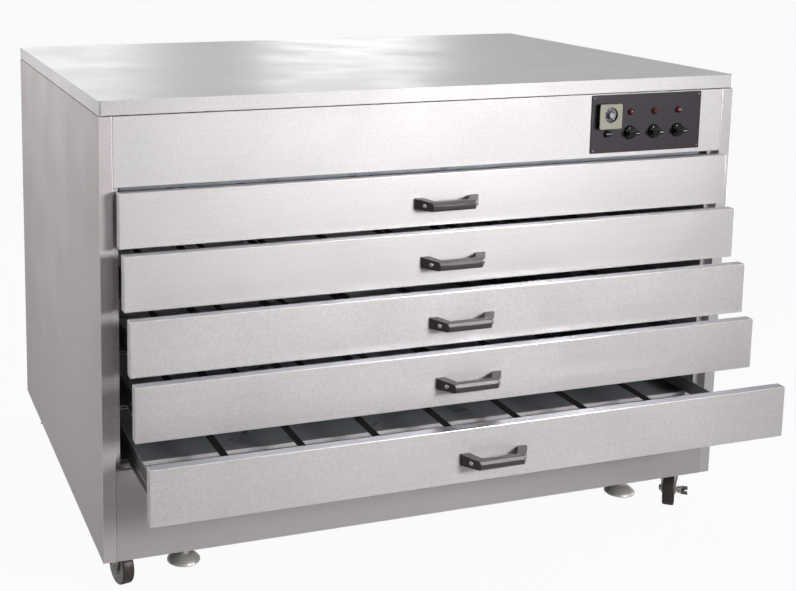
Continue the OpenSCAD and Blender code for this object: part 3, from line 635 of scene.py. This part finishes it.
# ---------------------------------------------------------------- Control plate
# A dark engraved sheet, bare of words here, laps the opening in the header and is held by a
# small plated screw in each corner.
plate_paint = dark_paint("control_plate_paint", (0.04, 0.034, 0.042), 0.45, level=0.25, scale=420)
softened("control_plate", "control_plate_sheet", "cabinet", plate_paint, "plate", 0.0004)
plate_low, plate_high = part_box("control_plate")
plate_x, plate_z = (plate_low.x + plate_high.x) / 2, (plate_low.z + plate_high.z) / 2
outwards, from_edge = (0, -1, 0), 0.006
corner_screws = [((x, plate_low.y, z), outwards)
                 for x in (plate_low.x + from_edge, plate_high.x - from_edge)
                 for z in (plate_low.z + from_edge, plate_high.z - from_edge)]
set_heads("plate_screws", "cabinet", corner_screws, 0.0022, 0.0012, frame_steel, seed=5)


def on_plate(x, z):
    """A place on the control plate, x and z in millimetres; its own Z points out of the header."""
    return Matrix(((1, 0, 0, plate_x + x / 1000), (0, 0, -1, face_y),
                   (0, 1, 0, plate_z + z / 1000), (0, 0, 0, 1)))


# ---------------------------------------------------------------- Thermostat
# A black box with an ivory front frame; a dark dial with plain division marks turns in its
# recess on a steel spindle with a bright turned button.
def turned(form, profile, place, steps=48, index=0):
    """Adds a form turned on a lathe, from (radius, height) in millimetres along its own Z."""
    rings = []
    for radius, height in profile:
        angles = [math.tau * k / steps for k in range(steps if radius else 1)]
        rings.append([form.verts.new(place @ Vector((
            radius / 1000 * math.cos(a), radius / 1000 * math.sin(a), height / 1000)))
            for a in angles])
    made = []
    for low_ring, high_ring in zip(rings, rings[1:]):
        for k in range(steps):
            j = (k + 1) % steps
            corners = [low_ring[k % len(low_ring)], low_ring[j % len(low_ring)],
                       high_ring[j % len(high_ring)], high_ring[k % len(high_ring)]]
            unique = list(dict.fromkeys(corners))
            if len(unique) > 2:
                made.append(form.faces.new(unique))
    for face in made:
        face.material_index = index
    bmesh.ops.recalc_face_normals(form, faces=made)
    return made


def bar(form, low, high, place, index=0):
    """Adds a small block between two corners in millimetres."""
    middle = Matrix.Translation([(a + b) / 2000 for a, b in zip(low, high)])
    size = Matrix.Diagonal([(b - a) / 1000 for a, b in zip(low, high)] + [1])
    made = bmesh.ops.create_cube(form, size=1, matrix=place @ middle @ size)
    for face in {face for vert in made["verts"] for face in vert.link_faces}:
        face.material_index = index


black_plastic = dark_paint("black_plastic", (0.005, 0.005, 0.005), 0.26, level=0.35, scale=300)
ivory = dark_paint("ivory_plastic", (0.36, 0.345, 0.28), 0.32, scale=420)
dial_grey = dark_paint("dial_grey", (0.075, 0.075, 0.095), 0.35, scale=300)
mark_white = dark_paint("mark_white", (0.75, 0.75, 0.74), 0.5, scale=300)
bright_steel = stainless("bright_turned_steel", (300, 300, 300), tone=(0.75, 0.75, 0.75),
                         gloss=0.22, metal=1)
bezel_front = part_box("thermostat")[0].y
softened("thermostat", "thermostat_box", "cabinet", [black_plastic, ivory], "ivory", 0.0007,
         sort_face=lambda face: int(face.calc_center_median().y < bezel_front + 0.0012))
dial_x, dial_z = -95.5, 20.5
spindle_end, dial_face, dial_rim, mark_end = -24, 10, 15, 14.1
dial_place = on_plate(dial_x, dial_z)
dial = bmesh.new()
turned(dial, [(0, spindle_end), (3, spindle_end), (3, 6.5), (14.3, 6.5), (dial_rim, 7.1),
              (dial_rim, 9.4), (14.5, dial_face), (6, dial_face)], dial_place, index=0)
turned(dial, [(6, dial_face), (6.1, 10.3), (6.1, 17.4), (5.3, 18.5), (2.6, 18.5), (2.2, 18),
              (0, 18)], dial_place, steps=36, index=1)
for k in range(25):
    half_mark, length = (0.28, 1.9) if k % 4 else (0.4, 3.6)
    bar(dial, (-half_mark, mark_end - length, dial_face - 0.1),
        (half_mark, mark_end, dial_face + 0.12),
        dial_place @ Matrix.Rotation(math.radians(-135 + k * 11.25), 4, "Z"), index=2)
finished(dial, "thermostat_dial", "thermostat_knob", [dial_grey, bright_steel, mark_white],
         "black_plastic", "thermostat_knob")

# ---------------------------------------------------------------- Pilot lamps
# Three neon lamps, unlit: a deep red domed lens with a faceted inside is pressed into a thin
# black collar that passes through the plate.
red_lens, lens_nodes, lens_links, lens = nodes_of("red_lens")
lens.inputs["Roughness"].default_value = 0.18
lens.inputs["Coat Weight"].default_value = 0.4
lens.inputs["Coat Roughness"].default_value = 0.08
lens_place = lens_nodes.new("ShaderNodeTexCoord")
facets = lens_nodes.new("ShaderNodeTexVoronoi")
facets.inputs["Scale"].default_value = 450
# The lens colour lightens towards the edge of each facet: painted glints of the facets, over their
# real bump.
lens_tint_painted_glints = lens_nodes.new("ShaderNodeValToRGB")
lens_tint_painted_glints.color_ramp.elements[0].color = (0.035, 0.001, 0.002, 1)
lens_tint_painted_glints.color_ramp.elements[1].color = (0.15, 0.01, 0.01, 1)
lens_relief = lens_nodes.new("ShaderNodeBump")
lens_relief.inputs["Strength"].default_value = 0.35
lens_relief.inputs["Distance"].default_value = 0.0006
lens_links.new(lens_place.outputs["Object"], facets.inputs["Vector"])
lens_links.new(facets.outputs["Distance"], lens_tint_painted_glints.inputs["Fac"])
lens_links.new(lens_tint_painted_glints.outputs["Color"], lens.inputs["Base Color"])
lens_links.new(facets.outputs["Distance"], lens_relief.inputs["Height"])
lens_links.new(lens_relief.outputs["Normal"], lens.inputs["Normal"])
lamps = bmesh.new()
lamp_x, lamp_z = (-40.5, 18.5, 77.5), 24
dome_r, dome_h, dome_foot, collar_r, collar_end = 7.0, 6.7, 3.5, 5.9, -24
dome = [(dome_r * math.cos(a), dome_foot + dome_h * math.sin(a))
        for a in [math.radians(18 * k) for k in range(5)]] + [(0, dome_foot + dome_h)]
collar = [(0, collar_end), (collar_r, collar_end), (collar_r, 2), (7.2, 2), (7.2, 3.2),
          (dome_r, dome_foot)]
for x in lamp_x:
    place = on_plate(x, lamp_z)
    turned(lamps, collar, place, steps=32, index=1)
    turned(lamps, dome, place, steps=32, index=0)
finished(lamps, "pilot_lamp_lenses", "cabinet", [red_lens, black_plastic], "lamp_red",
         "pilot_lamps")

# ---------------------------------------------------------------- Switches and fuse
# Moulded black knobs with a bar grip, a white pointer and a short white stroke on the skirt that
# is a painted glint; the fuse cap has a slot for a coin and draws its carrier out of the holder.
painted_node("rotary_switches", black_plastic)
softened("fuse_holder", "fuse_holder_body", "cabinet", black_plastic, "black_plastic", 0.0004)
cap_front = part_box("fuse_cap")[0].y
switch_z, painted_glint_turn = -20, math.radians(24)


# The floor of the coin slot is picked out in bright steel: a painted highlight in the black cap.
def slot_painted_highlight(face):
    behind = face.calc_center_median().y - cap_front
    return int(face.normal.y < -0.9 and 0.0004 < behind < 0.004)


# The black cap with its slot floor in bright steel, a painted highlight.
softened("fuse_cap", "fuse_cap_button", "fuse_cap", [black_plastic, bright_steel],
         "black_plastic", 0.0004, sort_face=slot_painted_highlight)
for node, x in zip(("heater_switch_knob", "fan_switch_knob", "power_switch_knob"), lamp_x):
    softened(node, node + "_grip", node, black_plastic, "black_plastic", 0.0006)
    place = on_plate(x, switch_z)
    pointer = bmesh.new()
    bar(pointer, (4.5, -0.6, 19.6), (12.3, 0.6, 20.12), place)
    # A short white stroke on the skirt, turned off the grip: a painted glint, not a mark.
    bar(pointer, (-0.45, 9.6, 7.6), (0.45, 13.2, 8.12),
        place @ Matrix.Rotation(painted_glint_turn, 4, "Z"))
    finished(pointer, node + "_pointer", node, mark_white, "ivory")

# ---------------------------------------------------------------- Fan and heaters
# An axial fan of black plastic lies in the ceiling and blows over bent heating tubes, whose
# steel sheaths have gone brown and which hang on two brackets.
painted_node("fan_motor", frame_paint)
painted_node("fan_rotor", black_plastic)
heater_steel = stainless("heater_sheath", (90, 90, 90), tone=(0.4, 0.37, 0.34), gloss=0.38,
                         metal=0.9)
painted_node("heater_elements", heater_steel)

# ---------------------------------------------------------------- Cable gland
# A black nylon gland with two hexagon nuts closes the hole for the supply cable, low in the
# back panel.
softened("cable_gland", "cable_gland_body", "cabinet", black_plastic, "black_plastic", 0.0006)

# ---------------------------------------------------------------- Casters
# Zinc-plated swivel forks on bolted plates, with moulded wheels; the front right and rear left
# ones have a two-pronged brake pedal.
half_width, depth = 0.7, 0.96
caster_side, caster_front, caster_shift = 0.052, 0.085, 0.011
trail, axle_z, bolt_x, bolt_y, bolt_z = 0.020, 0.0375, 0.03, 0.022, 0.099
rim_r, rim_out, pin_out, cam_end = 0.0285, 0.0119, 0.022, 0.0062
tread = dark_paint("tread_rubber", (0.05, 0.036, 0.035), 0.4, level=0.4, scale=120)
wheel_side = dark_paint("wheel_side_plastic", (0.24, 0.225, 0.225), 0.4, scale=200)
# The casters' forks, plates and pedals take a darker copy of the zinc plating: painted shade under
# the cabinet.
caster_plated_painted_shade = stainless("caster_plating_painted_shade", scuffed, tone=(0.46, 0.45, 0.43), gloss=0.34,
                          metal=0.8)
corners = {"front_left": (-1, 0, 101), "front_right": (1, 0, 234),
           "rear_left": (-1, 1, 80), "rear_right": (1, 1, 118)}
softened("caster_mounts", "caster_plates", "cabinet", caster_plated_painted_shade, "plated", 0.0004)
bolts, downwards = [], (0, 0, -1)
inner_half = [(4.05, -13), (9.4, -13), (10, -12.4), (10.1, -10.5), (26, -10.5), (27.5, -12.4),
              (28.2, -13), (33.5, -13), (35.5, -12.4), (36.9, -10.9), (37.4, -9), (37.5, -5.6),
              (37.2, -5.2), (37.2, -4.6), (37.5, -4.2)]
outer_half = [(radius, -out) for radius, out in reversed(inner_half)]
wheel_profile = inner_half + outer_half + inner_half[:1]
for corner, (side, rear, heading) in corners.items():
    x = side * (half_width - caster_side) + caster_shift
    y = face_y + (depth - caster_front if rear else caster_front)
    forward = Vector((math.cos(math.radians(heading)), math.sin(math.radians(heading)), 0))
    axle = Vector((-forward.y, forward.x, 0))
    hub = Vector((x, y, axle_z)) + trail * forward
    bolts += [((x + sx * bolt_x, y + sy * bolt_y, bolt_z), downwards)
              for sx in (-1, 1) for sy in (-1, 1)]
    fork, wheel = "caster_fork_" + corner, "caster_wheel_" + corner
    softened(fork, fork + "_cheeks", fork, caster_plated_painted_shade, "plated", 0.0004)
    place = Matrix((forward, Vector((0, 0, 1)), axle)).transposed().to_4x4()
    place.translation = hub
    form = bmesh.new()
    for face in turned(form, wheel_profile, place, steps=64):
        spoke = face.calc_center_median() - hub
        out = spoke.dot(axle)
        face.material_index = int((spoke - axle * out).length < rim_r or abs(out) > rim_out)
    bmesh.ops.remove_doubles(form, verts=form.verts, dist=1e-6)
    bmesh.ops.recalc_face_normals(form, faces=form.faces)
    finished(form, wheel + "_tyre", wheel, [tread, wheel_side], "tread", wheel)
    if corner in ("front_right", "rear_left"):
        pedal, pin = "brake_pedal_" + corner, hub + axle * pin_out
        softened(pedal, pedal + "_cam", pedal, [caster_plated_painted_shade, black_plastic], "black_plastic",
                 0.0004, cut=(pin + axle * cam_end, axle),
                 sort_face=lambda face: int((face.calc_center_median() - pin).dot(axle) > cam_end))
set_heads("caster_bolts", "cabinet", bolts, 0.0052, 0.003, plated, seed=7)

# ---------------------------------------------------------------- Levelling feet
# Turned steel pads on threaded stems that screw through the bosses of the base. They are drawn
# up here, so that the cabinet stands on its casters.
foot_side, foot_front = 0.182, 0.075
pad = [(0, 45), (32.8, 45), (34, 46), (34, 47.4), (33.4, 48.7), (31, 51.3), (28, 53.97),
       (24, 56.9), (20, 59.2), (16, 61), (13.4, 61.9), (12.4, 62.5), (9.4, 68.4), (8.8, 69),
       (6, 69.2)]
pitch, thread_foot, thread_long, crest_r, root_r = 1.75, 70, 87, 6, 5.3
thread = [(crest_r if k % 2 else root_r, thread_foot + k * pitch / 2)
          for k in range(int(thread_long * 2 / pitch))]
stem_end = [(5, 158), (0, 158)]
foot_steel = stainless("foot_steel", scuffed, tone=(0.66, 0.64, 0.61), gloss=0.42, metal=0.6)
for corner, (side, rear, _) in corners.items():
    y = face_y + (depth - foot_front if rear else foot_front)
    place = Matrix.Translation((side * (half_width - foot_side), y, 0))
    foot = bmesh.new()
    turned(foot, pad + thread + stem_end, place, steps=40)
    name = "levelling_foot_" + corner
    finished(foot, name + "_pad", name, foot_steel, "plated", name, sharp=38)

bpy.context.scene.view_settings.view_transform = "Standard"
